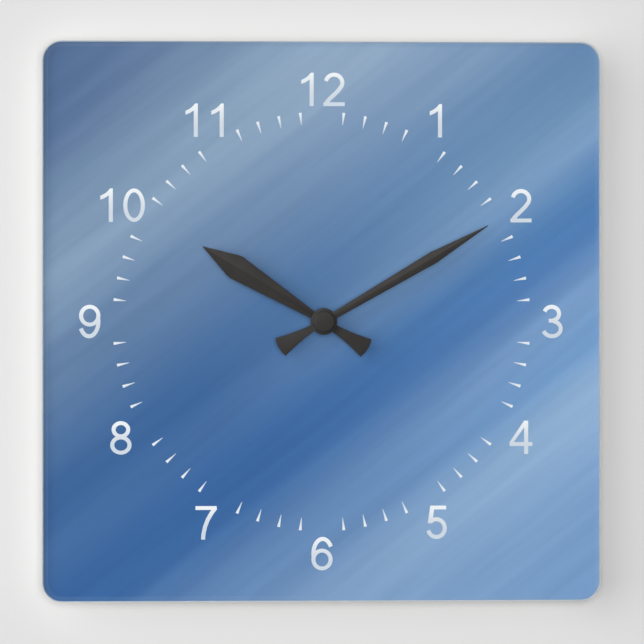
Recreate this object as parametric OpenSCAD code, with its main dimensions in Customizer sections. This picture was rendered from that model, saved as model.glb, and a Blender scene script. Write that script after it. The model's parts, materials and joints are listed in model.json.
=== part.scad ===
// Square acrylic wall clock hung by its quartz movement.
// Millimetres. X is right and Z is up as seen from the front; the front faces -Y.
// The origin is the centre of the hanging hole, on the plane of the wall.
// A distance called "depth" is measured forward from the wall.

/* [Face plate] */
// Width and height of the square acrylic plate
plate_size = 273.05; // [240:0.05:330]
// Thickness of the acrylic plate
plate_thick = 3.2; // [2:0.1:4.5]
// Corner radius of the plate
plate_corner = 9.5; // [2:0.5:30]
// Thickness of each printed film behind the plate
film_thick = 0.2; // [0.1:0.05:0.4]
// Margin left between the films and the edge of the plate
film_margin = 0.4; // [0:0.1:5]

/* [Dial] */
// Height of the numerals
numeral_height = 16.3; // [10:0.1:22]
// Stroke width of the numerals
numeral_stroke = 2.0; // [1.2:0.1:3]
// Radius of the circle through the middles of the numerals
numeral_ring = 113.3; // [90:0.1:125]
// Radius of the outer ends of the minute marks
mark_outer = 102.4; // [80:0.1:115]
// Length of a minute mark
mark_length = 6.1; // [3:0.1:10]
// Width of a minute mark at its outer end
mark_width = 1.45; // [0.8:0.1:3]

/* [Hands] */
// Shaft centre to the tip of the minute hand
minute_length = 93; // [70:0.1:110]
// Widest part of the minute hand
minute_width = 6.1; // [4:0.1:9]
// Shaft centre to the widest part of the minute hand
minute_shoulder = 63; // [45:0.5:65]
// Shaft centre to the tip of the hour hand
hour_length = 69.4; // [50:0.1:90]
// Widest part of the hour hand
hour_width = 12.1; // [6:0.1:13]
// Shaft centre to the widest part of the hour hand
hour_shoulder = 50.2; // [35:0.1:54]
// Shaft centre to the curved end of each tail
tail_length = 25.5; // [15:0.1:35]
// Width of a tail at its end
tail_width = 10; // [5:0.1:12]
// How far the end of a tail bows out between its corners
tail_bow = 1.0; // [0.3:0.1:2]
// Sheet thickness of the hands
hand_sheet = 0.5; // [0.3:0.05:0.8]
// Height of the fold along the middle of a hand
hand_fold = 0.45; // [0.1:0.05:0.8]
// Direction of the minute hand, clockwise from 12
minute_heading = 59.8; // [0:0.05:360]
// Direction of the hour hand, clockwise from 12
hour_heading = 301.75; // [0:0.05:360]

/* [Movement] */
// Width and height of the movement case
case_size = 56; // [55:0.5:70]
// Depth of the movement case, front to back
case_depth = 16.2; // [16.2:0.1:20]
// Wall thickness of the movement case
case_wall = 1.0; // [0.8:0.1:1.5]
// Outer corner radius of the movement case
case_corner = 3; // [1:0.5:6]
// Diameter of the hanging hole
hang_hole = 8; // [5:0.5:10]
// Hanging hole's centre above the top of the case
hang_rise = 6; // [6:0.5:12]
// Diameter of the battery
battery_diameter = 14.5; // [13.5:0.1:14.5]
// Length of the battery with its terminal
battery_length = 50.5; // [49.2:0.1:50.5]

/* [Gears] */
// Module of the train gears
gear_module = 0.25; // [0.2:0.01:0.27]
// Thickness of each gear
gear_thick = 1.0; // [0.8:0.05:1]
// Space between one layer of gears and the next
layer_gap = 0.4; // [0.35:0.05:0.5]

/* [Hidden] */
$fn = 64;

// Fits and small clearances
run_gap = 0.05;      // a shaft turning in its bore, on the radius
body_gap = 0.3;      // between pieces that move past each other
bay_gap = 0.25;      // between the battery and its bay
pivot_r = 0.4;       // small steel-thin pivots of the wheels
pivot_bore = pivot_r + run_gap;

// The case and the levels inside it
case_half = case_size / 2;
inner_half = case_half - case_wall;
hang_drop = case_half + hang_rise;
cover_thick = 1.2;
cover_gap = 0.1;
front_inside = case_depth - case_wall;
function level(k) = front_inside - body_gap - gear_thick - k * (gear_thick + layer_gap);
hour_level = level(0);
motion_level = level(1);
centre_level = level(2);
plate_level = level(3);
third_level = level(4);
seconds_level = level(5);
intermediate_level = level(6);
plate_front = plate_level + gear_thick;
stator_level = intermediate_level - 2.2;
sheet_iron = 1.0;
core_level = stator_level + sheet_iron;
magnet_level = stator_level - 0.7;
magnet_front = intermediate_level - 0.5;

// The stack in front of the case
rubber_thick = 0.8;
backing_level = case_depth + rubber_thick;
artwork_level = backing_level + film_thick;
acrylic_level = artwork_level + film_thick;
acrylic_front = acrylic_level + plate_thick;
washer_thick = 0.5;
nut_thick = 2.0;
nut_front = acrylic_front + washer_thick + nut_thick;
bushing_front = nut_front + 0.9;
hour_hand_level = bushing_front + body_gap + 0.5;
hour_tube_front = hour_hand_level + 1.7;
minute_hand_level = hour_tube_front + 1.4;
arbor_front = minute_hand_level + hand_sheet + 1.9;

// Shaft sizes
thread_r = 3.95;
thread_depth = 0.4;
thread_pitch = 0.75;
nut_bore = thread_r + 0.07;
plate_bore = thread_r + 0.25;
tube_r = 2.55;
arbor_r = 1.75;
tip_r = 1.4;
neck_r = 1.1;
motion_post_r = 0.45;
knob_shaft_r = 1.68;
knob_pivot_r = 0.8;
knob_r = 5.2;
well_r = knob_r + body_gap;
well_depth = 3.0;
well_floor = 0.8;

// Tooth counts: rotor to seconds 30 to 1, seconds to minutes 60 to 1, minutes to hours 12 to 1
rotor_teeth = 8;
intermediate_teeth = 40;
intermediate_leaves = 8;
seconds_teeth = 48;
seconds_leaves = 8;
third_teeth = 60;
third_leaves = 8;
centre_teeth = 64;
cannon_teeth = 12;
motion_teeth = 36;
motion_leaves = 10;
hour_teeth = 40;
knob_teeth = 12;

// Wheel positions, from the shaft: each distance is the pitch radii of a meshing pair
function polar(r, a) = [r * cos(a), r * sin(a)];
function bearing(v) = atan2(v.y, v.x);
third_reach = (centre_teeth + third_leaves) * gear_module / 2;
third_module = 2 * third_reach / (third_teeth + seconds_leaves);
motion_reach = (cannon_teeth + motion_teeth) * gear_module / 2;
hour_module = 2 * motion_reach / (hour_teeth + motion_leaves);
third_at = polar(third_reach, 150);
intermediate_at = polar((seconds_teeth + intermediate_leaves) * gear_module / 2, 45);
rotor_at = intermediate_at + polar((intermediate_teeth + rotor_teeth) * gear_module / 2, 75);
motion_at = polar(motion_reach, -25);
knob_at = motion_at + [(motion_teeth + knob_teeth) * gear_module / 2, 0];

// Battery bay, contacts and circuit board
battery_r = battery_diameter / 2;
battery_z = -(inner_half - battery_r - bay_gap);
battery_depth = front_inside - bay_gap - battery_r;
bay_top = battery_z + battery_r + bay_gap;
bay_wall = 0.8;
room_floor = bay_top + bay_wall;
contact_thick = 0.4;
contact_half = 4.5;
board_thick = 0.8;
board_level = core_level - 0.1 - board_thick;
board_front = board_level + board_thick;
board_left = -22;
board_right = -10;
board_low = -7;
board_posts = [[-19.5, -4.5], [-19.5, 22.5]];
negative_run = [board_front - 1.2, board_front + 0.8];
positive_run = [board_front, board_front + 2];

// Stepper motor, in the upper half of the case
rotor_hole = 3.2;
stator_left = -8.5;
stator_right = 21.5;
stator_low = rotor_at.y - rotor_hole - 0.65;
stator_high = rotor_at.y + rotor_hole + 0.65;
leg_width = 5;
coil_z = stator_high + 5.4;
coil_half = 9;
coil_mid = (stator_left + stator_right) / 2;
lead_rise = [leg_width / 2 + 0.3, leg_width / 2 + 0.8];
board_high = coil_z + lead_rise[1] + 1.7;
coil_r = 3.3;
bobbin_r = 1.9;
core_width = 3.0;
motor_posts = [[stator_left + leg_width / 2, coil_z], [stator_right - leg_width / 2, coil_z]];

// Posts that clamp the middle plate between the case and the cover
post_in = inner_half - 2.5;
plate_posts = [[-post_in, -1], [post_in, -1], [-post_in, post_in], [post_in, post_in]];
snap_heights = [8, 17];
snap_width = 4;
snap_reach = 0.6;
peg_x = 6;
peg_depth = 6.5;
peg_r = 0.95;

// ---------- placing ----------
module at_shaft() { translate([0, 0, -hang_drop]) children(); }

// A flat piece drawn as seen from the front, with its back at this depth
module slab(depth, thick) {
  translate([0, -depth, 0]) rotate([90, 0, 0]) linear_extrude(thick) children();
}

// A round bar along the shaft's direction, between two depths
module rod(from, to, r, at = [0, 0]) { slab(from, to - from) translate(at) circle(r); }

// A turned piece: the profile's x is its radius and y its height above this depth
module turned(depth, profile) {
  translate([0, -depth, 0]) rotate([90, 0, 0]) rotate_extrude() polygon(profile);
}

module rounded(w, h, r) {
  square([w - 2 * r, h], center = true);
  square([w, h - 2 * r], center = true);
  for (x = [-1, 1], y = [-1, 1]) translate([x * (w / 2 - r), y * (h / 2 - r)]) circle(r);
}

// A rectangle from one corner to the other
module box2(low, high) { translate(low) square(high - low); }

// A plate that fills the upper part of the case from this height up, this far inside its walls
module upper_plate(low, gap) {
  side = inner_half - gap;
  intersection() {
    rounded(2 * side, 2 * side, max(case_corner - case_wall - gap, 0.2));
    box2([-side, low], [side, side]);
  }
}

// A box given as x, depth and z ranges
module block(x, depth, z) {
  translate([x[0], -depth[1], z[0]]) cube([x[1] - x[0], depth[1] - depth[0], z[1] - z[0]]);
}

// ---------- gears ----------
// Half of a tooth, as [radius, half thickness]: flank, then an arched tip
function half_tooth(rp, m, add, ded, w, tip) = [
  [rp - ded * m, w * m * (rp - ded * m) / rp],
  [rp, w * m],
  [rp + add * m / 2, m * (tip + (w - tip) * (1 - pow(0.5, 1.9)))],
  [rp + add * m, m * tip]
];
function gear_points(teeth, profile, phase) = [
  for (i = [0 : teeth - 1], side = [-1, 1], j = [0 : len(profile) - 1])
    let (q = profile[side < 0 ? j : len(profile) - 1 - j],
         a = phase + 360 * i / teeth + side * q[1] / q[0] * 180 / PI)
    polar(q[0], a)
];
module wheel(teeth, m, phase = 0) {
  polygon(gear_points(teeth, half_tooth(teeth * m / 2, m, 1.25, 1.6, 0.76, 0.12), phase));
}
module pinion(teeth, m, phase = 0) {
  polygon(gear_points(teeth, half_tooth(teeth * m / 2, m, 0.62, 1.75, 0.5, 0.15), phase));
}
// Turn of a gear that puts a gap where its neighbour, in direction a, has a tooth
function mesh_phase(teeth, phase, other, a) =
  a + 180 - 360 / other * (0.5 - teeth * (a - phase) / 360);

third_pinion_phase = mesh_phase(centre_teeth, 0, third_leaves, bearing(third_at));
seconds_pinion_phase = mesh_phase(third_teeth, 0, seconds_leaves, bearing(-third_at));
intermediate_pinion_phase = mesh_phase(seconds_teeth, 0, intermediate_leaves,
                                       bearing(intermediate_at));
rotor_phase = mesh_phase(intermediate_teeth, 0, rotor_teeth, bearing(rotor_at - intermediate_at));
motion_phase = mesh_phase(cannon_teeth, 0, motion_teeth, bearing(motion_at));
hour_phase = mesh_phase(motion_leaves, 0, hour_teeth, bearing(-motion_at));
knob_phase = mesh_phase(motion_teeth, motion_phase, knob_teeth, bearing(knob_at - motion_at));

// ---------- numerals, in units of their own height ----------
stroke = numeral_stroke / numeral_height;
thin = stroke * 0.94;
function arc(c, r, from, to, n) = [
  for (i = [0 : n]) let (a = from + (to - from) * i / n) c + [r.x * cos(a), r.y * sin(a)]
];
function heading(p, i) =
  let (v = p[min(i + 1, len(p) - 1)] - p[max(i - 1, 0)]) v / norm(v);
function beside(p, i, d) = let (h = heading(p, i)) p[i] + d * [-h.y, h.x];
module ribbon(p) {
  last = len(p) - 1;
  polygon([for (i = [0 : last]) beside(p, i, -stroke / 2),
           for (i = [last : -1 : 0]) beside(p, i, stroke / 2)]);
}
module oval(c, r) { polygon([for (i = [0 : 27]) c + [r.x * cos(i * 360 / 28), r.y * sin(i * 360 / 28)]]); }
module ring(c, r) { difference() { oval(c, r); oval(c, r - [stroke, thin]); } }

module six() {
  ring([0.335, 0.325], [0.32, 0.325]);
  ribbon(arc([0.355, 0.5], [0.355 - stroke / 2 - 0.015, 0.5 - thin / 2], 28, 195, 14));
}
module digit(n) {
  if (n == 0) ring([0.325, 0.5], [0.325, 0.5]);
  if (n == 1) polygon([[0.25 + stroke, 0], [0.25 + stroke, 1], [0.29, 1], [0.2, 0.895],
                       [0.1, 0.825], [0, 0.78], [0, 0.66], [0.13, 0.71], [0.25, 0.79], [0.25, 0]]);
  if (n == 2) {
    ribbon(concat(arc([0.32, 0.7], [0.25, 0.3 - thin / 2], 168, -22, 12),
                  [[0.45, 0.47], [0.32, 0.34], [0.19, 0.22], [0.11, 0.13], [0.075, 0.055]]));
    square([0.64, thin]);
  }
  if (n == 3) {
    ribbon(arc([0.3, 0.735], [0.225, 0.265 - thin / 2], 162, -80, 14));
    ribbon(arc([0.31, 0.285], [0.265, 0.285 - thin / 2], 80, -162, 14));
    box2([0.21, 0.468], [0.36, 0.468 + thin]);
  }
  if (n == 4) {
    difference() {
      polygon([[0, 0.24], [0.44 + stroke, 0.24], [0.44 + stroke, 1], [0.44, 1], [0, 0.355]]);
      polygon([[0.125, 0.24 + thin], [0.44, 0.24 + thin], [0.44, 0.8]]);
    }
    box2([0.44, 0], [0.44 + stroke, 0.3]);
    box2([0.5, 0.24], [0.69, 0.24 + thin]);
  }
  if (n == 5) {
    ribbon(arc([0.305, 0.325], [0.325 - stroke / 2 - 0.01, 0.325 - thin / 2], 138, -165, 16));
    polygon([[0.12, 1], [0.045, 0.47], [0.11, 0.47], [0.07 + stroke, 0.53],
             [0.12 + stroke, 1 - thin / 2]]);
    box2([0.12, 1 - thin], [0.6, 1]);
  }
  if (n == 6) six();
  if (n == 7) {
    box2([0, 1 - thin], [0.635, 1]);
    ribbon([[0.6, 0.95], [0.48, 0.79], [0.37, 0.6], [0.285, 0.38], [0.24, 0.17], [0.225, 0]]);
  }
  if (n == 8) {
    ring([0.32, 0.745], [0.28, 0.255]);
    ring([0.32, 0.285], [0.32, 0.285]);
  }
  if (n == 9) translate([0.655, 1]) rotate(180) six();
}
// Each digit stands in a cell of one width, this far from its left side
cell = 0.776;
bearings = [0.059, 0.152, 0.042, 0.059, 0.018, 0.05, 0.052, 0.066, 0.057, 0.057];
module numeral(n) {
  last = n % 10;
  cells = n > 9 ? 2 : 1;
  scale(numeral_height) translate([-cells * cell / 2, -0.5]) {
    translate([(cells - 1) * cell + bearings[last], 0]) digit(last);
    if (n > 9) translate([bearings[1], 0]) digit(1);
  }
}
module all_numerals() {
  for (n = [1 : 12]) translate(polar(numeral_ring, 90 - 30 * n)) numeral(n);
}
module all_marks() {
  tip = mark_width * 0.16;
  for (i = [0 : 59]) if (i % 5 != 0) rotate(-6 * i)
    polygon([[-mark_width / 2, mark_outer], [mark_width / 2, mark_outer],
             [tip / 2, mark_outer - mark_length], [-tip / 2, mark_outer - mark_length]]);
}

// ---------- face ----------
module face_plate() {
  color([0.8, 0.88, 0.95, 0.35]) at_shaft() slab(acrylic_level, plate_thick) difference() {
    rounded(plate_size, plate_size, plate_corner);
    circle(plate_bore);
  }
}
module film() {
  side = plate_size - 2 * film_margin;
  difference() {
    rounded(side, side, plate_corner - film_margin);
    circle(plate_bore);
  }
}
module printed_artwork() {
  color([0.33, 0.5, 0.72]) at_shaft() slab(artwork_level, film_thick) difference() {
    film();
    all_numerals();
    all_marks();
  }
}
module numerals() { color([0.93, 0.94, 0.96]) at_shaft() slab(artwork_level, film_thick) all_numerals(); }
module minute_marks() { color([0.95, 0.96, 0.97]) at_shaft() slab(artwork_level, film_thick) all_marks(); }
module white_backing() { color([0.95, 0.95, 0.94]) at_shaft() slab(backing_level, film_thick) film(); }

// ---------- fixing ----------
module washer(level, thick, r) { slab(level, thick) difference() { circle(r); circle(nut_bore); } }
module rubber_washer() { color([0.08, 0.08, 0.08]) at_shaft() washer(case_depth, rubber_thick, 9); }
module brass_washer() { color([0.78, 0.63, 0.3]) at_shaft() washer(acrylic_front, washer_thick, 5.85); }
module hex_nut() {
  across_flats = 10;
  color([0.8, 0.65, 0.32]) at_shaft() slab(acrylic_front + washer_thick, nut_thick) difference() {
    circle(across_flats / 2 / cos(30), $fn = 6);
    circle(nut_bore);
  }
}
module threaded_bushing() {
  flange_r = 5;
  top = bushing_front - front_inside;
  turns = floor((top - case_wall - 0.3) / thread_pitch);
  grooves = [for (i = [0 : turns - 1], k = [0 : 2])
    [thread_r - (k == 1 ? thread_depth : 0),
     case_wall + 0.15 + thread_pitch * (i + [0.1, 0.5, 0.9][k])]];
  color([0.82, 0.67, 0.34]) at_shaft() turned(front_inside, concat(
    [[tube_r + 0.07, 0], [flange_r, 0], [flange_r, case_wall], [thread_r, case_wall]],
    grooves, [[thread_r, top - 0.2], [thread_r - 0.2, top], [tube_r + 0.07, top]]));
}

// ---------- hands: drawn pointing up, with their back at height 0 ----------
module outline(length, shoulder, width, root) {
  tail_from = 6;
  steps = 8;
  bow_r = tail_width * tail_width / (8 * tail_bow) + tail_bow / 2;
  spread = asin(tail_width / 2 / bow_r);
  right = concat(
    [[0.2, length - 0.4], [width / 2 - 0.3, shoulder + 1.6], [width / 2, shoulder - 0.4],
     [root / 2, tail_from]],
    [for (i = [0 : steps - 1])
      let (t = i / steps, low = tail_length - tail_bow - tail_from)
      [root / 2 + (tail_width - root) / 2 * pow(t, 1.5), -tail_from - low * t]],
    [for (i = [0 : 5]) [0, bow_r - tail_length] + polar(bow_r, -90 + spread * (1 - i / 6))]);
  polygon(concat([[0, length]], right, [[0, -tail_length]],
                 [for (i = [len(right) - 1 : -1 : 0]) [-right[i].x, right[i].y]]));
}
module hand(length, shoulder, width, root, hub, hole) {
  wing = 7;
  difference() {
    union() {
      linear_extrude(hand_sheet) circle(hub);
      linear_extrude(hand_sheet) intersection() {
        outline(length, shoulder, width, root);
        box2([-wing, -tail_length - 1], [wing, hub - 1]);
      }
      intersection() {
        linear_extrude(hand_sheet + hand_fold) outline(length, shoulder, width, root);
        translate([0, length + 1, 0]) rotate([90, 0, 0]) linear_extrude(length + 1 - (hub - 1.5))
          polygon([[-wing, 0], [0, hand_fold], [wing, 0],
                   [wing, hand_sheet], [0, hand_sheet + hand_fold], [-wing, hand_sheet]]);
      }
    }
    translate([0, 0, -1]) linear_extrude(hand_sheet + hand_fold + 2) circle(hole);
  }
}
module put_hand(depth, heading) { translate([0, -depth, 0]) rotate([90, 0, 0]) rotate(-heading) children(); }

bush_r = 3.4;
module hour_hand() {
  color([0.2, 0.2, 0.2]) at_shaft() put_hand(hour_hand_level, hour_heading)
    hand(hour_length, hour_shoulder, hour_width, 3.8, 6.2, bush_r);
}
module hour_hand_bush() {
  top = hand_sheet + hand_fold + 0.65;
  color([0.25, 0.25, 0.25]) at_shaft() turned(hour_hand_level - 0.45, [
    [tube_r, 0], [bush_r + 1.4, 0], [bush_r + 1.4, 0.45], [bush_r, 0.45],
    [bush_r, top - 0.2], [bush_r - 0.2, top], [tube_r, top]]);
}
hub_r = 6.5;
module minute_hand() {
  color([0.2, 0.2, 0.2]) at_shaft() put_hand(minute_hand_level, minute_heading)
    hand(minute_length, minute_shoulder, minute_width, 3.5, hub_r, tip_r);
}
module cap_nut() {
  seat = hand_sheet + hand_fold;
  rim = 5.1;
  high = 2.6;
  edge = 0.5;
  blind = arbor_front - minute_hand_level + 0.2;
  color([0.22, 0.22, 0.22]) at_shaft() turned(minute_hand_level, [
    [tip_r, hand_sheet], [3.2, hand_sheet], [3.2, seat], [rim, seat], [rim, hand_sheet + high - edge],
    [rim - edge, hand_sheet + high], [0, hand_sheet + high], [0, blind], [tip_r, blind]]);
}

// ---------- case ----------
module movement_case() {
  color([0.1, 0.1, 0.1]) at_shaft() difference() {
    union() {
      difference() {
        slab(0, case_depth) rounded(case_size, case_size, case_corner);
        slab(-1, front_inside + 1)
          rounded(2 * inner_half, 2 * inner_half, case_corner - case_wall);
      }
      block([-inner_half, inner_half], [0, front_inside], [bay_top, room_floor]);
      for (p = plate_posts) rod(plate_front, front_inside, 1.6, p);
      rod(motion_level + 0.1, front_inside, motion_post_r, motion_at);
      rod(centre_level + gear_thick + 0.6, front_inside, 1.2, third_at);
      rod(hour_level, front_inside, 1.6, knob_at);
    }
    rod(front_inside - 0.5, case_depth + 1, 5);
    rod(centre_level, front_inside - 0.6, pivot_bore, third_at);
    rod(motion_level, front_inside - 0.2, knob_pivot_r + run_gap, knob_at);
    for (s = [-1, 1]) {
      for (z = snap_heights)
        block([min(s * (inner_half - 1), s * (case_half + 1)), max(s * (inner_half - 1), s * (case_half + 1))],
              [cover_thick + 1, cover_thick + 2.4], [z - snap_width / 2 - 0.2, z + snap_width / 2 + 0.2]);
      translate([s * peg_x, -peg_depth, inner_half - 1]) cylinder(h = case_wall + 2, r = peg_r + run_gap);
    }
    // slots in the bay wall for the two battery contacts
    block([-inner_half - 0.01, -inner_half + contact_thick + 0.2], negative_run + [-0.2, 0.2],
          [bay_top - 1, room_floor + 1]);
    block([inner_half - contact_thick - 0.2, inner_half + 0.01], positive_run + [-0.2, 0.2],
          [bay_top - 1, room_floor + 1]);
  }
}
module rear_cover() {
  side = inner_half - cover_gap;
  color([0.12, 0.12, 0.12]) at_shaft() difference() {
    union() {
      slab(0, cover_thick) upper_plate(room_floor + cover_gap, cover_gap);
      rod(0, well_depth + well_floor, well_r + 0.8, knob_at);
      rod(cover_thick, seconds_level - 0.4, 1.3);
      rod(cover_thick, third_level - 0.4, 1.2, third_at);
      rod(cover_thick, intermediate_level - 0.4, 0.9, intermediate_at);
      rod(cover_thick, magnet_level - 0.4, 1.2, rotor_at);
      for (p = plate_posts) rod(cover_thick, plate_level, 1.6, p);
      for (s = [-1, 1], z = snap_heights) {
        inner = s * (side - 0.9);
        outer = s * side;
        tip = s * (inner_half + snap_reach);
        block([min(inner, outer), max(inner, outer)], [cover_thick, cover_thick + 3.2],
              [z - snap_width / 2, z + snap_width / 2]);
        block([min(outer, tip), max(outer, tip)], [cover_thick + 1.1, cover_thick + 2.2],
              [z - snap_width / 2, z + snap_width / 2]);
      }
    }
    rod(-1, well_depth, well_r, knob_at);
    rod(well_depth - 1, well_depth + well_floor + 1, knob_shaft_r + 0.06, knob_at);
    rod(seconds_level - 3.3, seconds_level, pivot_bore);
    rod(third_level - 3.7, third_level, pivot_bore, third_at);
    rod(intermediate_level - 2.9, intermediate_level, pivot_bore, intermediate_at);
    rod(cover_thick - 0.6, magnet_level, pivot_bore, rotor_at);
  }
}
module middle_plate() {
  color([0.85, 0.85, 0.82]) at_shaft() difference() {
    union() {
      slab(plate_level, gear_thick) upper_plate(room_floor + body_gap, body_gap);
      for (p = board_posts) rod(board_front, plate_level, 1.4, p);
      for (p = board_posts) rod(board_level - 0.5, board_front, 0.6, p);
      for (p = motor_posts) rod(core_level + sheet_iron, plate_level, 1.5, p);
      for (p = motor_posts) rod(stator_level - 0.5, core_level + sheet_iron, 0.9, p);
    }
    rod(plate_level - 1, plate_front + 1, neck_r + run_gap);
    rod(plate_level - 1, plate_front + 1, 1.7, third_at);
    rod(plate_level - 1, plate_front + 1, pivot_bore, intermediate_at);
    rod(plate_level - 1, plate_front + 1, pivot_bore, rotor_at);
    rod(plate_level - 1, plate_front + 1, knob_shaft_r + 0.06, knob_at);
  }
}
module hanger() {
  half = 9;
  thick = 1.8;
  base = hang_drop - hang_rise;
  foot = 1.4;
  color([0.1, 0.1, 0.1]) at_shaft() {
    slab(0, thick) difference() {
      union() {
        box2([-half, base], [half, hang_drop]);
        translate([0, hang_drop]) intersection() {
          circle(half);
          box2([-half, -1], [half, half]);
        }
      }
      translate([0, hang_drop]) circle(hang_hole / 2);
    }
    block([-half, half], [thick, 9], [base, base + foot]);
    for (s = [-1, 1]) {
      translate([s * peg_x, -peg_depth, base - case_wall]) cylinder(h = case_wall, r = peg_r);
      translate([s * (half - 0.75) - 0.75, 0, base]) rotate([90, 0, 90]) linear_extrude(1.5)
        polygon([[-thick, foot], [-thick, hang_rise + 2], [-8, foot]]);
    }
  }
}

// ---------- wheels ----------
module holes() { for (i = [0 : 3]) translate(polar(20 * gear_module, 90 * i + 30)) circle(5.2 * gear_module); }

module minute_arbor() {
  leaf_from = centre_level + gear_thick + 0.3;
  color([0.75, 0.6, 0.3]) at_shaft() difference() {
    union() {
      rod(plate_level + 0.1, leaf_from, neck_r);
      slab(leaf_from, hour_level - 0.2 - leaf_from) pinion(cannon_teeth, gear_module);
      rod(hour_level - 0.2, minute_hand_level, arbor_r);
      rod(minute_hand_level, arbor_front, tip_r);
    }
    rod(plate_level, centre_level + 0.8, 0.5 + run_gap);
  }
}
module clutch_spring() {
  color([0.75, 0.75, 0.72]) at_shaft() slab(centre_level + gear_thick, 0.3) difference() {
    circle(2.4);
    circle(neck_r);
  }
}
module centre_wheel() {
  color([0.9, 0.88, 0.8]) at_shaft() slab(centre_level, gear_thick) difference() {
    wheel(centre_teeth, gear_module);
    circle(neck_r);
    holes();
  }
}
module hour_wheel() {
  color([0.88, 0.86, 0.78]) at_shaft() difference() {
    union() {
      slab(hour_level, gear_thick) wheel(hour_teeth, hour_module, hour_phase);
      rod(hour_level, hour_tube_front, tube_r);
    }
    rod(hour_level - 1, hour_tube_front + 1, arbor_r + run_gap);
  }
}
module motion_wheel() {
  color([0.9, 0.88, 0.8]) at_shaft() difference() {
    union() {
      slab(motion_level, gear_thick) translate(motion_at) wheel(motion_teeth, gear_module, motion_phase);
      slab(motion_level + gear_thick, layer_gap + gear_thick)
        translate(motion_at) pinion(motion_leaves, hour_module);
    }
    rod(motion_level - 1, front_inside, motion_post_r + run_gap, motion_at);
  }
}
module setting_knob() {
  grips = 30;
  disc_back = 0.4;
  disc_front = well_depth - body_gap;
  leaf_from = motion_level - 0.2;
  leaf_to = motion_level + gear_thick + 0.1;
  color([0.12, 0.12, 0.12]) at_shaft() {
    difference() {
      slab(disc_back, disc_front - disc_back) translate(knob_at) polygon([
        for (i = [0 : 4 * grips - 1]) polar(knob_r - (i % 4 < 2 ? 0 : 0.35), i * 90 / grips)]);
      slab(0, disc_back + 0.8) translate(knob_at) square([6, 1.2], center = true);
    }
    rod(disc_front, leaf_from, knob_shaft_r, knob_at);
    slab(leaf_from, leaf_to - leaf_from) translate(knob_at) pinion(knob_teeth, gear_module, knob_phase);
    rod(leaf_to, front_inside - 0.4, knob_pivot_r, knob_at);
  }
}
module third_wheel() {
  leaf_to = centre_level + gear_thick + 0.2;
  color([0.9, 0.88, 0.8]) at_shaft() {
    slab(third_level, gear_thick) translate(third_at) difference() {
      wheel(third_teeth, third_module);
      holes();
    }
    slab(third_level + gear_thick, leaf_to - third_level - gear_thick)
      translate(third_at) pinion(third_leaves, gear_module, third_pinion_phase);
    rod(leaf_to, leaf_to + 1.9, pivot_r, third_at);
    rod(third_level - 3.3, third_level, pivot_r, third_at);
  }
}
module seconds_wheel() {
  leaf_to = plate_level - 0.3;
  color([0.9, 0.88, 0.8]) at_shaft() {
    slab(seconds_level, gear_thick) wheel(seconds_teeth, gear_module);
    slab(seconds_level + gear_thick, leaf_to - seconds_level - gear_thick)
      pinion(seconds_leaves, third_module, seconds_pinion_phase);
    rod(leaf_to, centre_level + 0.4, 0.5);
    rod(seconds_level - 2.9, seconds_level, pivot_r);
  }
}
module intermediate_wheel() {
  leaf_from = intermediate_level + gear_thick;
  leaf_to = seconds_level + gear_thick + 0.1;
  color([0.9, 0.88, 0.8]) at_shaft() {
    slab(intermediate_level, gear_thick) translate(intermediate_at) wheel(intermediate_teeth, gear_module);
    slab(leaf_from, leaf_to - leaf_from)
      translate(intermediate_at) pinion(intermediate_leaves, gear_module, intermediate_pinion_phase);
    rod(leaf_to, plate_front - 0.3, pivot_r, intermediate_at);
    rod(intermediate_level - 2.5, intermediate_level, pivot_r, intermediate_at);
  }
}

// ---------- stepper motor ----------
module rotor_pinion() {
  leaf_from = intermediate_level - 0.3;
  leaf_to = intermediate_level + gear_thick + 0.2;
  color([0.9, 0.88, 0.8]) at_shaft() {
    slab(leaf_from, leaf_to - leaf_from)
      translate(rotor_at) pinion(rotor_teeth, gear_module, rotor_phase);
    rod(leaf_to, plate_front - 0.3, pivot_r, rotor_at);
    rod(cover_thick - 0.2, leaf_from, pivot_r, rotor_at);
  }
}
module rotor_magnet() {
  color([0.45, 0.45, 0.47]) at_shaft() slab(magnet_level, magnet_front - magnet_level)
    translate(rotor_at) difference() {
      circle(2.8);
      circle(pivot_r);
    }
}
module stator() {
  color([0.6, 0.6, 0.62]) at_shaft() slab(stator_level, sheet_iron) difference() {
    union() {
      box2([stator_left, stator_low], [stator_right, stator_high]);
      box2([stator_left, stator_low], [stator_left + leg_width, coil_z + leg_width / 2]);
      box2([stator_right - leg_width, stator_low], [stator_right, coil_z + leg_width / 2]);
    }
    translate(rotor_at) {
      circle(rotor_hole);
      for (a = [45, 225]) translate(polar(rotor_hole, a)) circle(0.5);
    }
    for (p = motor_posts) translate(p) circle(0.9 + run_gap);
  }
}
module coil_core() {
  color([0.65, 0.65, 0.67]) at_shaft() slab(core_level, sheet_iron) difference() {
    union() {
      for (p = motor_posts) translate(p) square(leg_width, center = true);
      box2([stator_left + 1, coil_z - core_width / 2], [stator_right - 1, coil_z + core_width / 2]);
    }
    for (p = motor_posts) translate(p) circle(0.9 + run_gap);
  }
}
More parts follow.
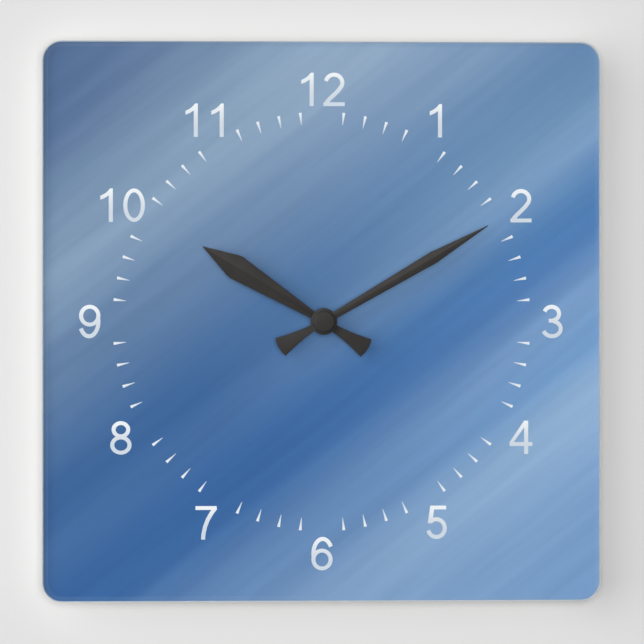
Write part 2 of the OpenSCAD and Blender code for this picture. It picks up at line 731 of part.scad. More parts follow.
// Pieces around the coil's axis, which runs along X
module around_coil(from, to) {
  translate([coil_mid + from, -(core_level + sheet_iron / 2), coil_z]) rotate([0, 90, 0])
    linear_extrude(to - from) children();
}
module coil_bobbin() {
  flange_r = coil_r + 0.2;
  flange = 0.6;
  color([0.92, 0.92, 0.9]) at_shaft() difference() {
    union() {
      around_coil(-coil_half, coil_half) circle(bobbin_r);
      around_coil(-coil_half, flange - coil_half) circle(flange_r);
      around_coil(coil_half - flange, coil_half) circle(flange_r);
    }
    around_coil(-coil_half - 1, coil_half + 1) square([core_width, sheet_iron] + [0.04, 0.04], center = true);
  }
}
module coil_winding() {
  color([0.72, 0.38, 0.16]) at_shaft() around_coil(0.6 - coil_half, coil_half - 0.6) difference() {
    circle(coil_r);
    circle(bobbin_r);
  }
}
module coil_leads() {
  wire = 0.15;
  joint_x = board_right - 2;
  color([0.72, 0.38, 0.16]) at_shaft() for (z = lead_rise)
    translate([joint_x, -(board_front + wire), coil_z + z])
      rotate([0, 90, 0]) cylinder(h = coil_mid - coil_half - joint_x, r = wire);
}

// ---------- electronics ----------
module circuit_board() {
  color([0.1, 0.35, 0.18]) at_shaft() slab(board_level, board_thick) difference() {
    box2([board_left, board_low], [board_right, board_high]);
    for (p = board_posts) translate(p) circle(0.6 + run_gap);
  }
}
module quartz_crystal() {
  r = 1;
  color([0.8, 0.8, 0.8]) at_shaft() {
    translate([-14, -(board_front + r), 10]) cylinder(h = 6, r = r);
    for (s = [-1, 1]) translate([-14 + 0.4 * s, -(board_front + r), 7]) cylinder(h = 3, r = 0.15);
    for (s = [-1, 1]) rod(board_front, board_front + r, 0.15, [-14 + 0.4 * s, 7.15]);
  }
}
module driver_chip() {
  color([0.05, 0.05, 0.05]) at_shaft() translate([board_left + 5.5, 0, 0])
    turned(board_front, [[0, 0], [2.4, 0], [1.9, 0.6], [0.9, 0.9], [0, 0.9]]);
}
module contact_pad(s) {
  x = [s * inner_half, s * (inner_half - contact_thick)];
  block([min(x), max(x)], [battery_depth - contact_half, battery_depth + contact_half],
        [battery_z - contact_half, battery_z + contact_half]);
}
module positive_contact() {
  wall = inner_half - contact_thick;
  strip = 0.3;
  run_z = [room_floor, room_floor + strip];
  color([0.8, 0.8, 0.78]) at_shaft() {
    contact_pad(1);
    translate([battery_length / 2, -battery_depth, battery_z]) rotate([0, 90, 0])
      cylinder(h = wall - battery_length / 2, r = 2);
    block([wall, inner_half], positive_run, [battery_z + contact_half, room_floor + strip]);
    block([board_left + 6, wall], positive_run, run_z);
    block([board_left + 6, board_left + 8], [board_front, board_front + strip], [room_floor + strip, board_low + 1.5]);
  }
}
module negative_contact() {
  wall = inner_half - contact_thick;
  strip = 0.3;
  color([0.8, 0.8, 0.78]) at_shaft() {
    contact_pad(-1);
    translate([0, -(battery_depth - 1.5), battery_z]) rotate([90, 0, 0]) linear_extrude(3) polygon([
      [-wall, -contact_half], [-battery_length / 2, 0], [-wall, contact_half],
      [-wall, contact_half - 0.7], [-battery_length / 2 - 0.4, 0], [-wall, 0.7 - contact_half]]);
    block([-inner_half, -wall], negative_run, [battery_z + contact_half, board_low + 1.5]);
    block([-wall, board_left + 0.9], [board_front, board_front + strip], [board_low - 1, board_low + 1.5]);
  }
}

// ---------- battery ----------
module along_battery(x0, x1) {
  translate([x0, -battery_depth, battery_z]) rotate([0, 90, 0]) linear_extrude(x1 - x0) children();
}
sleeve_thick = 0.2;
nub_length = 1.3;
module battery_cell() {
  half = battery_length / 2;
  color([0.75, 0.76, 0.78]) at_shaft() {
    along_battery(-half, half - nub_length) circle(battery_r - sleeve_thick);
    along_battery(half - nub_length, half) circle(2.7);
  }
}
module battery_sleeve() {
  half = battery_length / 2;
  color([0.16, 0.3, 0.25]) at_shaft() along_battery(0.2 - half, half - nub_length) difference() {
    circle(battery_r);
    circle(battery_r - sleeve_thick);
  }
}

face_plate();
printed_artwork();
numerals();
minute_marks();
white_backing();
rubber_washer();
brass_washer();
hex_nut();
threaded_bushing();
hour_hand();
hour_hand_bush();
minute_hand();
cap_nut();
movement_case();
rear_cover();
middle_plate();
hanger();
minute_arbor();
clutch_spring();
centre_wheel();
hour_wheel();
motion_wheel();
setting_knob();
third_wheel();
seconds_wheel();
intermediate_wheel();
rotor_pinion();
rotor_magnet();
stator();
coil_core();
coil_bobbin();
coil_winding();
coil_leads();
circuit_board();
quartz_crystal();
driver_chip();
positive_contact();
negative_contact();
battery_cell();
battery_sleeve();
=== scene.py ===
"""Looks for the square acrylic wall clock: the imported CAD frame, dressed, lit and photographed."""
import json
import math
import bmesh
import bpy
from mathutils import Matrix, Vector


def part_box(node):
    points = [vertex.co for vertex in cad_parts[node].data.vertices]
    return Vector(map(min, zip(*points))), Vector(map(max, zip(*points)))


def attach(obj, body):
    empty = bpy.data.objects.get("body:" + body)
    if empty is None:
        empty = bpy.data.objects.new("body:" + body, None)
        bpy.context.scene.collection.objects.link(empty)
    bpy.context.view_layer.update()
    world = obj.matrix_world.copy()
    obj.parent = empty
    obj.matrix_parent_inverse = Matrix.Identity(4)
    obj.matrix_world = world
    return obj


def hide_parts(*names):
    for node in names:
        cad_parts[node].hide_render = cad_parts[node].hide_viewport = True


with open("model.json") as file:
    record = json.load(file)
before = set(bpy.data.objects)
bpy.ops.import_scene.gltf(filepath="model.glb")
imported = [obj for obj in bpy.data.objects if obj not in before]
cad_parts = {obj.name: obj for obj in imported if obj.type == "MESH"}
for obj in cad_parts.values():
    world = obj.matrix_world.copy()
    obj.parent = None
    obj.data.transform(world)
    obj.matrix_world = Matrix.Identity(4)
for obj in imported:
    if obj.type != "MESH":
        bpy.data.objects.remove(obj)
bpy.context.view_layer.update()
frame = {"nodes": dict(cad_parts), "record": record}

NODES = frame["nodes"]
BODIES = frame["record"]["behaviour"]["bodies"]
BODY_OF = {node: body for body, members in BODIES.items() for node in members}
MM = 0.001

# X runs to the right, Y from the front to the wall and Z up
RIGHT, BACK, UP = (1, 0, 0), (0, 1, 0), (0, 0, 1)
PLATE_LOW, PLATE_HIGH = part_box("face_plate")
PLATE_WIDTH = PLATE_HIGH.x - PLATE_LOW.x
CENTRE = (PLATE_LOW + PLATE_HIGH) / 2
SHAFT = Vector((0, 0, CENTRE.z))


# ---------- node trees ----------
class Tree:
    """A material's node tree, with one short call for each kind of node. Its sizes are in millimetres."""

    def __init__(self, name):
        self.material = bpy.data.materials.new(name)
        self.material.use_nodes = True
        self.tree = self.material.node_tree
        self.tree.nodes.clear()
        self.output = self.tree.nodes.new("ShaderNodeOutputMaterial")
        self.place = self.node("ShaderNodeTexCoord").outputs["Object"]

    def node(self, kind, inputs=None, **settings):
        """A new node with these settings. An input is linked if its value is a socket, and set if not."""
        made = self.tree.nodes.new(kind)
        for key, value in settings.items():
            setattr(made, key, value)
        for key, value in (inputs or {}).items():
            socket = made.inputs[key]
            if isinstance(value, bpy.types.NodeSocket):
                self.tree.links.new(value, socket)
            elif socket.type == "RGBA":
                socket.default_value = (*value, 1)
            else:
                socket.default_value = value
        return made

    def math(self, operation, a, b=0.0):
        return self.node("ShaderNodeMath", {0: a, 1: b}, operation=operation).outputs[0]

    def dot(self, a, b):
        return self.node("ShaderNodeVectorMath", {0: a, 1: b}, operation="DOT_PRODUCT").outputs["Value"]

    def along(self, direction):
        """How far each point lies from the shaft along this direction."""
        offset = self.node("ShaderNodeVectorMath", {0: self.place, 1: SHAFT}, operation="SUBTRACT")
        return self.dot(offset.outputs[0], [part / MM for part in direction])

    def radius(self):
        """How far each point lies from the shaft's axis."""
        x, z = self.along(RIGHT), self.along(UP)
        squares = self.math("MULTIPLY", x, x), self.math("MULTIPLY", z, z)
        return self.math("SQRT", self.math("ADD", *squares))

    def fit(self, value, low, high, to_low=0.0, to_high=1.0, smooth=False):
        """Carries low to high over to the range from to_low to to_high, and holds at its ends."""
        inputs = {"Value": value, "From Min": low, "From Max": high, "To Min": to_low, "To Max": to_high}
        shape = "SMOOTHSTEP" if smooth else "LINEAR"
        return self.node("ShaderNodeMapRange", inputs, interpolation_type=shape).outputs["Result"]

    def spread(self, noise, to_low=0.0, to_high=1.0):
        """Carries 0.3 to 0.7, where most of a noise's values lie, over to this range."""
        return self.fit(noise, 0.3, 0.7, to_low, to_high)

    def texture(self, place, detail, rough):
        inputs = {"Vector": place, "Scale": 1.0, "Detail": detail, "Roughness": rough}
        return self.node("ShaderNodeTexNoise", inputs).outputs["Fac"]

    def noise(self, size, detail, stretch=(1, 1, 1), place=None):
        """Noise whose features are about this size, drawn out along an axis by stretch."""
        scale = [1 / (size * MM * share) for share in stretch]
        scaled = self.node("ShaderNodeMapping", {"Vector": place or self.place, "Scale": scale})
        return self.texture(scaled.outputs[0], detail, 0.55)

    def mix(self, factor, a, b, blend="MIX"):
        """The colour a, with this factor of b over it. The node's colours are its inputs 6 and 7."""
        inputs = {0: factor, 6: a, 7: b}
        return self.node("ShaderNodeMix", inputs, data_type="RGBA", blend_type=blend).outputs[2]

    def ramp(self, factor, stops):
        """A curve through these colours, each at its place from 0 to 1."""
        made = self.node("ShaderNodeValToRGB", {"Fac": factor})
        made.color_ramp.interpolation = "CARDINAL"
        elements = made.color_ramp.elements
        while len(elements) < len(stops):
            elements.new(0.5)
        for element, (at, colour) in zip(elements, stops):
            element.position = at
            element.color = (*colour, 1)
        return made.outputs["Color"]

    def bump(self, height, depth):
        return self.node("ShaderNodeBump", {"Height": height, "Distance": depth * MM}).outputs[0]

    def principled(self, colour, rough, normal=None, **others):
        """A principled shader. The names of its other inputs are given with _ for a space."""
        inputs = {"Base Color": colour, "Roughness": rough}
        if normal:
            inputs["Normal"] = normal
        for key, value in others.items():
            inputs[key.replace("_", " ")] = value
        return self.node("ShaderNodeBsdfPrincipled", inputs).outputs[0]

    def clear(self, colour=(1, 1, 1)):
        return self.node("ShaderNodeBsdfTransparent", {"Color": colour}).outputs[0]

    def cover(self, share, under, over):
        """Two shaders in one, of which over has this share."""
        return self.node("ShaderNodeMixShader", {0: share, 1: under, 2: over}).outputs[0]

    def surface(self, output):
        """What the geometry node says of the surface under this name."""
        return self.node("ShaderNodeNewGeometry").outputs[output]

    def done(self, shader):
        self.tree.links.new(shader, self.output.inputs["Surface"])
        return self.material


def srgb(*screen):
    """A colour given as it looks on a screen, 0 to 255, as linear light."""
    return tuple(c / 255 / 12.92 if c <= 10 else ((c / 255 + 0.055) / 1.055) ** 2.4 for c in screen)


def tinted(colour, share):
    """A colour made brighter or darker, and kept within what a surface can give back."""
    return tuple(min(1.0, part * share) for part in colour)


# ---------- materials ----------
def moulded(name, colour, rough, grain=0.5, depth=0.03, vary=0.2):
    """Moulded plastic or rubber: a fine even grain, and slow flow marks in its colour."""
    t = Tree(name)
    fine = t.noise(grain, 2)
    flow = t.noise(11, 4, stretch=(1, 1, 2.6))
    tone = t.mix(t.spread(flow), tinted(colour, 1 - vary), tinted(colour, 1 + vary))
    gloss = t.spread(fine, rough - 0.06, rough + 0.1)
    return t.done(t.principled(tone, gloss, t.bump(fine, depth)))


def metal(name, colour, dull, rough, turned=False):
    """Bare metal: rolled or turned lines, with duller patches where it has been handled."""
    t = Tree(name)
    line, relief = 0.12, 0.006
    if turned:
        radius, y = t.radius(), t.along(BACK)
        round_shaft = {"X": t.math("MULTIPLY", radius, MM), "Y": t.math("MULTIPLY", y, MM)}
        lines = t.noise(line, 3, place=t.node("ShaderNodeCombineXYZ", round_shaft).outputs[0])
    else:
        lines = t.noise(line, 3, stretch=(14, 1, 1))
    patches = t.noise(3.5, 4)
    tone = t.mix(t.fit(patches, 0.42, 0.72), colour, dull)
    gloss = t.math("ADD", t.spread(lines, rough - 0.07, rough + 0.1), t.fit(patches, 0.4, 0.8, 0, 0.12))
    return t.done(t.principled(tone, gloss, t.bump(lines, relief), Metallic=1.0))


STREAK = math.radians(38)
ALONG = (math.cos(STREAK), 0, math.sin(STREAK))
ACROSS = (math.sin(STREAK), 0, -math.cos(STREAK))
REACH = 190  # how far the blues below go from the shaft each way, in millimetres
# The print's blues, at the lower left and the upper right ends of its streaks. Each is given with how
# far it lies from the shaft across the streaks, towards the lower right, in millimetres
LOWER_BLUES = [
    (-190, (70, 98, 142)), (-150, (88, 114, 153)), (-125, (115, 141, 170)), (-95, (130, 155, 182)),
    (-72, (105, 134, 168)), (-50, (91, 122, 161)), (-30, (68, 108, 156)), (-10, (52, 98, 151)),
    (10, (62, 106, 159)), (30, (48, 98, 156)), (50, (60, 107, 162)), (70, (90, 128, 175)),
    (90, (107, 142, 184)), (110, (129, 160, 196)), (150, (122, 157, 196)), (190, (115, 152, 194))]
UPPER_BLUES = [
    (-190, (100, 125, 155)), (-150, (115, 140, 168)), (-110, (142, 165, 190)), (-90, (146, 169, 193)),
    (-72, (132, 158, 188)), (-50, (122, 151, 184)), (-30, (105, 140, 178)), (-10, (108, 144, 181)),
    (8, (122, 156, 193)), (30, (84, 130, 180)), (50, (87, 131, 183)), (70, (124, 160, 201)),
    (90, (117, 158, 202)), (110, (152, 183, 215)), (132, (132, 167, 206)), (190, (122, 160, 202))]


def blues(t, across, colours):
    """The colours of one end of the streaks, by how far across them each point lies."""
    stops = [((at + REACH) / (2 * REACH), srgb(*colour)) for at, colour in colours]
    return t.ramp(t.fit(across, -REACH, REACH), stops)


def artwork():
    """The print behind the acrylic: long soft streaks of blue that climb to the upper right."""
    t = Tree("artwork_print")
    across, along = t.along(ACROSS), t.along(ALONG)

    def streaks(crosswise, lengthwise, layer, detail, rough):
        """Noise with this many features to a millimetre across the streaks, and this many along them."""
        inputs = {"X": t.math("MULTIPLY", across, crosswise), "Y": t.math("MULTIPLY", along, lengthwise),
                  "Z": layer}
        return t.texture(t.node("ShaderNodeCombineXYZ", inputs).outputs[0], detail, rough)

    wander = t.spread(streaks(0.05, 0.004, 0, 2, 0.5), -3, 3)
    shifted = t.math("ADD", across, wander)
    lower_end, upper_end = -95, 140
    climb = t.fit(along, lower_end, upper_end, smooth=True)
    base = t.mix(climb, blues(t, shifted, LOWER_BLUES), blues(t, shifted, UPPER_BLUES))
    fine = t.fit(streaks(0.14, 0.007, 7, 4, 0.55), 0.33, 0.68)
    shade, light = (0.925, 0.955, 0.97), (1.095, 1.085, 1.07)
    colour = t.mix(1.0, base, t.mix(fine, shade, light), "MULTIPLY")
    dots = t.noise(0.2, 1)
    return t.done(t.principled(colour, t.spread(dots, 0.5, 0.65)))


def flaked(t, tone):
    """Finishes silver ink of this tone: a few greyer flakes, and a satin gloss."""
    flake = t.noise(0.3, 2)
    tone = t.mix(t.fit(flake, 0.4, 0.75, 0, 0.12), tone, srgb(186, 192, 202))
    return t.done(t.principled(tone, t.spread(flake, 0.38, 0.52)))


def silver_ink(ring):
    """Silver ink that shades from near white at the top of each numeral to grey at its foot."""
    t = Tree("silver_ink")
    x, z = t.along(RIGHT), t.along(UP)
    hour, half_height = math.radians(30), 8.2
    # The bearing of the nearest numeral, and how far each point lies above that numeral's middle
    turn = t.math("MULTIPLY", t.math("ROUND", t.math("DIVIDE", t.math("ARCTAN2", x, z), hour)), hour)
    up = t.math("SUBTRACT", z, t.math("MULTIPLY", t.math("COSINE", turn), ring))
    stops = [(0, srgb(213, 222, 230)), (0.3, srgb(214, 221, 229)), (0.65, srgb(227, 232, 236)),
             (1, srgb(246, 248, 249))]
    return flaked(t, t.ramp(t.fit(up, -half_height, half_height), stops))


def mark_ink(inner, outer):
    """The same ink on the minute marks, brightest at their broad outer ends."""
    t = Tree("mark_ink")
    return flaked(t, t.mix(t.fit(t.radius(), inner, outer), srgb(208, 217, 228), srgb(240, 243, 245)))


ACRYLIC = 1.49  # its index of refraction


def acrylic_face(name, haze):
    """Clear cast acrylic under a faint polished reflection, with this share of pale haze from light inside
    it. Only its outer side reflects, so that light which leaves the sheet isn't held back."""
    t = Tree(name)
    cloud = t.noise(12, 3)
    pale = t.mix(t.spread(cloud), srgb(176, 214, 246), srgb(196, 226, 250))
    body = t.cover(haze, t.clear((0.99, 0.995, 1.0)), t.principled(pale, 0.4))
    smear = t.noise(20, 4)
    shine = t.node("ShaderNodeBsdfGlossy", {"Roughness": t.fit(smear, 0.35, 0.75, 0.06, 0.1)}).outputs[0]
    fresnel = t.node("ShaderNodeFresnel", {"IOR": ACRYLIC}).outputs[0]
    outside = t.math("SUBTRACT", 1.0, t.surface("Backfacing"))
    return t.done(t.cover(t.math("MULTIPLY", fresnel, outside), body, shine))


def acrylic_edge():
    """The plate's cut edge, flame-polished over faint saw lines, with painted light: the sides that face
    the lower right are painted pale and more solid, as a glow of light run through the sheet, and those
    that face the upper left darker blue and clearer."""
    t = Tree("acrylic_edge")
    saw = t.noise(0.4, 3, stretch=(1, 12, 1))
    cloud = t.noise(6, 3)
    lower_right = (0.8, 0, -0.6)
    # Painted glow: how far each side faces the lower right, away from the key light
    painted_glow = t.fit(t.dot(t.surface("Normal"), lower_right), -0.1, 0.5, smooth=True)
    pale = t.mix(t.spread(cloud), srgb(206, 224, 242), srgb(232, 242, 250))
    tone = t.mix(painted_glow, srgb(116, 144, 174), pale)
    solid = t.principled(tone, t.spread(saw, 0.16, 0.32), t.bump(saw, 0.015), IOR=ACRYLIC)
    # The painted glow also makes the lower right sides more solid and the upper left ones clearer
    return t.done(t.cover(t.fit(painted_glow, 0, 1, 0.3, 0.9), t.clear((0.93, 0.97, 1.0)), solid))


def painted_hand():
    """Thin aluminium sheet under satin charcoal enamel, a little warm, with fine dust in the coat."""
    t = Tree("hand_enamel")
    dust = t.noise(0.35, 2)
    cloud = t.noise(9, 3)
    tone = t.mix(t.spread(cloud), srgb(47, 46, 45), srgb(53, 51, 49))
    gloss = t.spread(dust, 0.44, 0.56)
    return t.done(t.principled(tone, gloss, t.bump(dust, 0.006), Specular_IOR_Level=0.38))


def battery_wrap():
    """The cell's printed film: a dark green body, a pale line and a bronze shoulder at the positive end."""
    t = Tree("battery_wrap")
    low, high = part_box("battery_sleeve")
    x = t.along(RIGHT)
    shoulder_share = 0.26
    shoulder = (high.x - shoulder_share * (high.x - low.x)) / MM
    line_low, line_high, soft = shoulder - 1.6, shoulder - 0.7, 0.1
    band = t.fit(x, shoulder, shoulder + 0.15)
    past_low, before_high = t.fit(x, line_low, line_low + soft), t.fit(x, line_high - soft, line_high, 1, 0)
    line = t.math("MULTIPLY", past_low, before_high)
    crinkle = t.noise(1.6, 3, stretch=(4, 1, 1))
    tone = t.mix(t.spread(crinkle), srgb(24, 58, 46), srgb(36, 74, 58))
    tone = t.mix(band, tone, srgb(176, 116, 62))
    tone = t.mix(line, tone, srgb(214, 216, 210))
    return t.done(t.principled(tone, t.spread(crinkle, 0.2, 0.34), t.bump(crinkle, 0.03),
                               Metallic=t.math("MULTIPLY", band, 0.85), Coat_Weight=0.4))


def winding():
    """Enamelled copper wire, wound close along X, with painted shade and highlight: dark copper
    between the turns and bright copper on each.
    """
    t = Tree("copper_winding")
    pitch = 0.09
    turns = t.math("SINE", t.math("MULTIPLY", t.along(RIGHT), 2 * math.pi / pitch))
    wander = t.noise(0.6, 2)
    # Painted shade and highlight: dark copper in the grooves between turns, bright copper on each turn's
    # crown
    tone = t.mix(t.fit(turns, -1, 1), srgb(96, 40, 18), srgb(206, 112, 58))
    tone = t.mix(t.spread(wander, 0, 0.4), tone, srgb(150, 66, 30))
    return t.done(t.principled(tone, t.spread(wander, 0.22, 0.36), t.bump(turns, 0.03), Metallic=0.9))


def circuit():
    """Green solder mask over a maze of copper tracks, drawn as the joints of a brick wall."""
    t = Tree("circuit_board")
    per_metre = 420
    flat = t.node("ShaderNodeMapping", {"Vector": t.place, "Scale": (per_metre, 1, per_metre),
                                        "Rotation": (math.pi / 2, 0, 0)}).outputs[0]
    bricks = {"Vector": flat, "Color1": (0, 0, 0), "Color2": (0, 0, 0), "Mortar": (1, 1, 1),
              "Mortar Size": 0.12}
    tracks = t.node("ShaderNodeTexBrick", bricks).outputs["Fac"]
    grain = t.noise(0.4, 2)
    tone = t.mix(tracks, srgb(18, 84, 44), srgb(44, 122, 66))
    tone = t.mix(t.fit(grain, 0.35, 0.7, 0, 0.35), tone, srgb(12, 62, 32))
    return t.done(t.principled(tone, t.spread(grain, 0.25, 0.4), t.bump(tracks, 0.04)))


# ---------- dressing the CAD nodes ----------
def dress(material, *names):
    """Gives these CAD nodes this material alone."""
    for name in names:
        materials = NODES[name].data.materials
        materials.clear()
        materials.append(material)


RING = 113.3  # radius of the circle through the middles of the numerals, in millimetres
MARKS = (96.3, 102.4)  # inner and outer radius of the minute marks
CASE_BLACK, RUBBER_BLACK, EPOXY_BLACK = srgb(54, 54, 56), srgb(30, 30, 31), srgb(22, 22, 23)
KNOB_GREY = srgb(70, 70, 73)
GEAR_CREAM, BOBBIN_WHITE, FILM_WHITE = srgb(226, 222, 206), srgb(232, 231, 224), srgb(236, 236, 232)
# Each metal bright, and dulled by handling
STEEL, MAGNET = ((0.62, 0.61, 0.59), (0.4, 0.38, 0.35)), ((0.3, 0.3, 0.31), (0.2, 0.2, 0.21))
BRASS, IRON = ((0.78, 0.57, 0.24), (0.5, 0.33, 0.13)), ((0.5, 0.5, 0.52), (0.36, 0.35, 0.35))
NICKEL = ((0.66, 0.66, 0.67), (0.5, 0.5, 0.51))

case_plastic = moulded("case_plastic", CASE_BLACK, 0.48)
dress(artwork(), "printed_artwork")
dress(silver_ink(RING), "numerals")
dress(mark_ink(*MARKS), "minute_marks")
dress(painted_hand(), "hour_hand", "hour_hand_bush", "minute_hand", "cap_nut")
dress(moulded("backing_film", FILM_WHITE, 0.5, grain=0.9, depth=0.01, vary=0.03), "white_backing")
dress(moulded("washer_rubber", RUBBER_BLACK, 0.75, grain=0.4, depth=0.05), "rubber_washer")
dress(metal("turned_brass", *BRASS, 0.24, turned=True), "brass_washer", "threaded_bushing", "minute_arbor")
dress(metal("flat_brass", *BRASS, 0.3), "hex_nut")
dress(case_plastic, "movement_case", "rear_cover", "hanger")
dress(moulded("knob_plastic", KNOB_GREY, 0.4, grain=0.4), "setting_knob")
dress(moulded("gear_plastic", GEAR_CREAM, 0.35, grain=0.3, depth=0.006, vary=0.05),
      "middle_plate", "centre_wheel", "hour_wheel", "motion_wheel", "third_wheel", "seconds_wheel",
      "intermediate_wheel", "rotor_pinion")
dress(metal("plated_steel", *STEEL, 0.28),
      "clutch_spring", "positive_contact", "negative_contact", "quartz_crystal")
dress(metal("magnet", *MAGNET, 0.42), "rotor_magnet")
dress(metal("motor_iron", *IRON, 0.36), "stator", "coil_core")
dress(moulded("bobbin_plastic", BOBBIN_WHITE, 0.35, grain=0.3, depth=0.006, vary=0.05), "coil_bobbin")
dress(winding(), "coil_winding", "coil_leads")
dress(circuit(), "circuit_board")
dress(moulded("chip_epoxy", EPOXY_BLACK, 0.3, grain=1.2, depth=0.06), "driver_chip")
dress(metal("battery_can", *NICKEL, 0.26), "battery_cell")
dress(battery_wrap(), "battery_sleeve")


# ---------- shaping ----------
def piece_of(name, bm, node, *materials, instead=True):
    """Makes bm a piece on this node's body, which stands for the node unless it only adds to it."""
    mesh = bpy.data.meshes.new(name)
    bm.to_mesh(mesh)
    bm.free()
    piece = bpy.data.objects.new(name, mesh)
    bpy.context.scene.collection.objects.link(piece)
    for material in materials:
        mesh.materials.append(material)
    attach(piece, BODY_OF[node])
    if instead:
        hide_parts(node)
    return piece


def plate_loop(bm, half, corner, y):
    """One loop of a square with round corners, on the plane at y, seen from the front."""
    loop = []
    steps = 14  # in each corner
    for quarter in range(4):
        middle_x = (half - corner) * (1 if quarter in (0, 3) else -1)
        middle_z = CENTRE.z + (half - corner) * (1 if quarter in (0, 1) else -1)
        for i in range(steps + 1):
            angle = math.pi / 2 * quarter + math.pi / 2 * i / steps
            x, z = middle_x + corner * math.cos(angle), middle_z + corner * math.sin(angle)
            loop.append(bm.verts.new((x, y, z)))
    return loop


def bore_loop(bm, square, radius, y):
    """A circle about the shaft, on the plane at y, with one point for each of the square's."""
    loop = []
    for vert in square:
        out = Vector((vert.co.x, 0, vert.co.z - CENTRE.z)).normalized() * radius
        loop.append(bm.verts.new((out.x, y, CENTRE.z + out.z)))
    return loop


def bridge(bm, one, other, index, smooth=False):
    """Joins two closed loops of as many points each with a band of faces that takes this material."""
    count = len(one)
    for i in range(count):
        after = (i + 1) % count
        face = bm.faces.new((one[i], one[after], other[after], other[i]))
        face.material_index = index
        face.smooth = smooth


def acrylic_plate():
    """The face plate with a rounded front edge and a shallow bevelled border."""
    polished, cut, hazy = 0, 1, 2  # its materials, in the order in which piece_of gets them
    half, corner, bore = PLATE_WIDTH / 2, 9.5 * MM, 4.2 * MM
    back, front = PLATE_HIGH.y - 0.05 * MM, PLATE_LOW.y
    chamfer, edge, edge_steps = 0.25 * MM, 0.55 * MM, 5
    border, dip = 2.7 * MM, 0.08 * MM
    # The plate's side in loops from back to front: how far in, at which Y, and what the band behind is
    profile = [(chamfer, back, cut), (0, back - chamfer, cut)]
    for i in range(edge_steps + 1):
        angle = math.pi / 2 * i / edge_steps
        profile.append((edge * (1 - math.cos(angle)), front + dip + edge * (1 - math.sin(angle)), cut))
    profile.append((border, front, hazy))
    bm = bmesh.new()
    loops = [plate_loop(bm, half - inset, corner - inset, y) for inset, y, _ in profile]
    for behind, before, (_, _, index) in zip(loops, loops[1:], profile[1:]):
        bridge(bm, behind, before, index, smooth=index == cut)
    front_bore, back_bore = bore_loop(bm, loops[-1], bore, front), bore_loop(bm, loops[0], bore, back)
    bridge(bm, loops[-1], front_bore, polished)
    bridge(bm, front_bore, back_bore, cut, smooth=True)
    bridge(bm, back_bore, loops[0], polished)
    bmesh.ops.recalc_face_normals(bm, faces=bm.faces)
    piece_of("acrylic_plate", bm, "face_plate", acrylic_face("acrylic_face", 0.0), acrylic_edge(),
             acrylic_face("acrylic_border", 0.05))


def refined(node, width, angle):
    """A CAD node's own shape, with each edge that turns by more than this angle in degrees rounded off."""
    weld, flat, steps = 0.002 * MM, math.radians(0.5), 2
    bm = bmesh.new()
    bm.from_mesh(NODES[node].data)
    bmesh.ops.remove_doubles(bm, verts=bm.verts, dist=weld)
    bmesh.ops.dissolve_limit(bm, angle_limit=flat, verts=bm.verts, edges=bm.edges)
    piece = piece_of(node + "_piece", bm, node, NODES[node].data.materials[0])
    for face in piece.data.polygons:
        face.use_smooth = True
    bevel = piece.modifiers.new("edges", "BEVEL")
    bevel.width, bevel.segments = width, steps
    bevel.limit_method, bevel.angle_limit = "ANGLE", math.radians(angle)
    bevel.harden_normals = True
    bpy.context.view_layer.update()
    evaluated = piece.evaluated_get(bpy.context.evaluated_depsgraph_get())
    made = bpy.data.meshes.new_from_object(evaluated)
    made.name = piece.name
    piece.modifiers.clear()
    piece.data = made


def sign_outline(kind, arm, half):
    """The corners of a plus or minus sign, in X and Z about its middle."""
    if kind == "minus":
        return [(arm, -half), (arm, half), (-arm, half), (-arm, -half)]
    corner = [(arm, -half), (arm, half), (half, half)]
    outline = []
    for _ in range(4):
        outline += corner
        corner = [(-z, x) for x, z in corner]
    return outline


def polarity_marks():
    """Raised plus and minus signs moulded beside the battery bay, each over its own pole."""
    low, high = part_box("rear_cover")
    arm, half, rise, chamfer, sunk = 1.5 * MM, 0.32 * MM, 0.15 * MM, 0.08 * MM, 0.05 * MM
    from_side, from_foot = 5 * MM, 3 * MM
    bm = bmesh.new()
    for kind, x in (("plus", high.x - from_side), ("minus", low.x + from_side)):
        loops = []
        for y, inset in ((-sunk, 0), (rise - chamfer, 0), (rise, chamfer)):
            outline = sign_outline(kind, arm - inset, half - inset)
            loops.append([bm.verts.new((x + dx, high.y + y, low.z + from_foot + dz)) for dx, dz in outline])
        for lower, upper in zip(loops, loops[1:]):
            bridge(bm, lower, upper, 0)
        bm.faces.new(loops[0])
        bm.faces.new(loops[-1])
    bmesh.ops.recalc_face_normals(bm, faces=bm.faces)
    piece_of("polarity_marks", bm, "rear_cover", case_plastic, instead=False)


acrylic_plate()
# The hands' folds are shallow, so their edges are rounded from a smaller angle on
for node, width, angle in (("hour_hand", 0.07, 9), ("minute_hand", 0.07, 9), ("cap_nut", 0.16, 32),
                           ("movement_case", 0.3, 32), ("rear_cover", 0.12, 32), ("hanger", 0.35, 32),
                           ("setting_knob", 0.1, 32), ("hex_nut", 0.2, 32), ("rubber_washer", 0.15, 32),
                           ("brass_washer", 0.1, 32)):
    refined(node, width * MM, angle)
polarity_marks()


# ---------- stage, light and camera ----------
def wall():
    """A pale wall just behind the clock. It is clear from behind and casts no shadow, so that the clock's
    back can be seen and lit through it."""
    t = Tree("wall_paint")
    paint = t.principled(t.mix(t.noise(200, 2), (0.69, 0.69, 0.69), (0.71, 0.71, 0.71)), 0.9,
                         Specular_IOR_Level=0.0)
    material = t.done(t.cover(t.surface("Backfacing"), paint, t.clear()))
    reach, gap = 3.0, 0.6 * MM
    bm = bmesh.new()
    corners = ((-reach, -reach), (reach, -reach), (reach, reach), (-reach, reach))
    bm.faces.new([bm.verts.new((x, gap, z)) for x, z in corners])
    mesh = bpy.data.meshes.new("wall")
    bm.to_mesh(mesh)
    bm.free()
    mesh.materials.append(material)
    backdrop = bpy.data.objects.new("wall", mesh)
    bpy.context.scene.collection.objects.link(backdrop)
    backdrop.visible_shadow = False


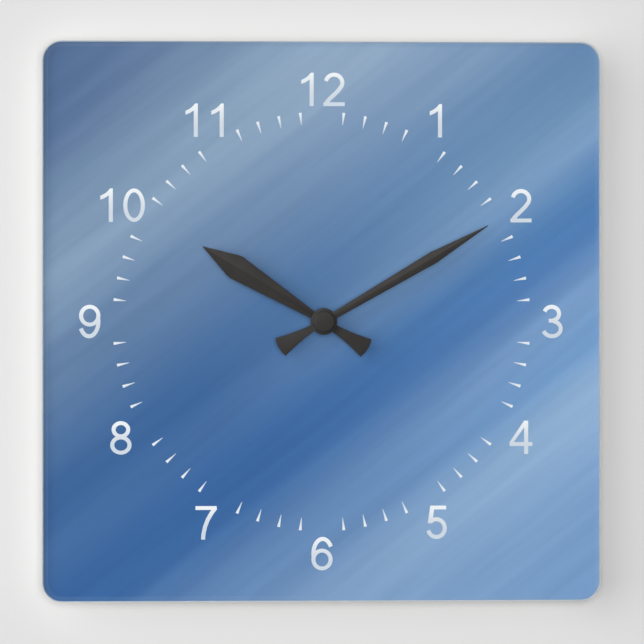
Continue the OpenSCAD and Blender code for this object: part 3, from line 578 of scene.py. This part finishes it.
def softbox(name, direction, distance, size, watts):
    """A square soft light that looks at the plate from this direction. Distance and size are in metres."""
    data = bpy.data.lights.new(name, "AREA")
    data.shape, data.size, data.energy = "SQUARE", size, watts
    lamp = bpy.data.objects.new(name, data)
    outward = Vector(direction).normalized()
    lamp.location = CENTRE + outward * distance
    lamp.rotation_euler = (-outward).to_track_quat("-Z", "Y").to_euler()
    bpy.context.scene.collection.objects.link(lamp)
    return lamp


def surround(strength, seen):
    """An even white all round, dimmer as light than as what the camera sees."""
    world = bpy.data.worlds.new("surround")
    bpy.context.scene.world = world
    world.use_nodes = True
    tree = world.node_tree
    background = tree.nodes["Background"]
    background.inputs["Color"].default_value = (1, 1, 1, 1)
    path = tree.nodes.new("ShaderNodeLightPath")
    level = tree.nodes.new("ShaderNodeMapRange")
    level.inputs["To Min"].default_value = strength
    level.inputs["To Max"].default_value = seen
    tree.links.new(path.outputs["Is Camera Ray"], level.inputs["Value"])
    tree.links.new(level.outputs["Result"], background.inputs["Strength"])


def camera(azimuth, distance, width):
    """A long lens, this many degrees round from straight ahead, that takes in this width at the plate."""
    sensor = 36
    left, down = 0.3 * MM, 0.24 * MM  # from the plate's middle to the picture's
    data = bpy.data.cameras.new("camera")
    data.sensor_width = sensor
    data.lens = sensor * distance / width
    view = bpy.data.objects.new("camera", data)
    angle = math.radians(azimuth)
    aim = Vector((-left, PLATE_LOW.y, CENTRE.z - down))
    view.location = aim + distance * Vector((math.sin(angle), -math.cos(angle), 0))
    view.rotation_euler = (aim - view.location).to_track_quat("-Z", "Y").to_euler()
    bpy.context.scene.collection.objects.link(view)
    bpy.context.scene.camera = view


bpy.context.scene.view_settings.view_transform = "Standard"
wall()
softbox("key", (-1.0, -1, 0.22), distance=5.0, size=5.2, watts=185)
fill = softbox("fill", (-0.045, -1, 0.025), distance=3.0, size=0.92, watts=49)
fill.visible_glossy = False  # or the plate would mirror it
softbox("rear", (0.7, 0.6, 0.9), distance=2.2, size=1.4, watts=24)
softbox("rear_fill", (-1.0, 0.5, 0.3), distance=2.2, size=1.0, watts=14)
surround(strength=0.15, seen=0.8)
plates_wide = 1.15  # the width of the picture
camera(azimuth=-5.0, distance=3.4, width=PLATE_WIDTH * plates_wide)
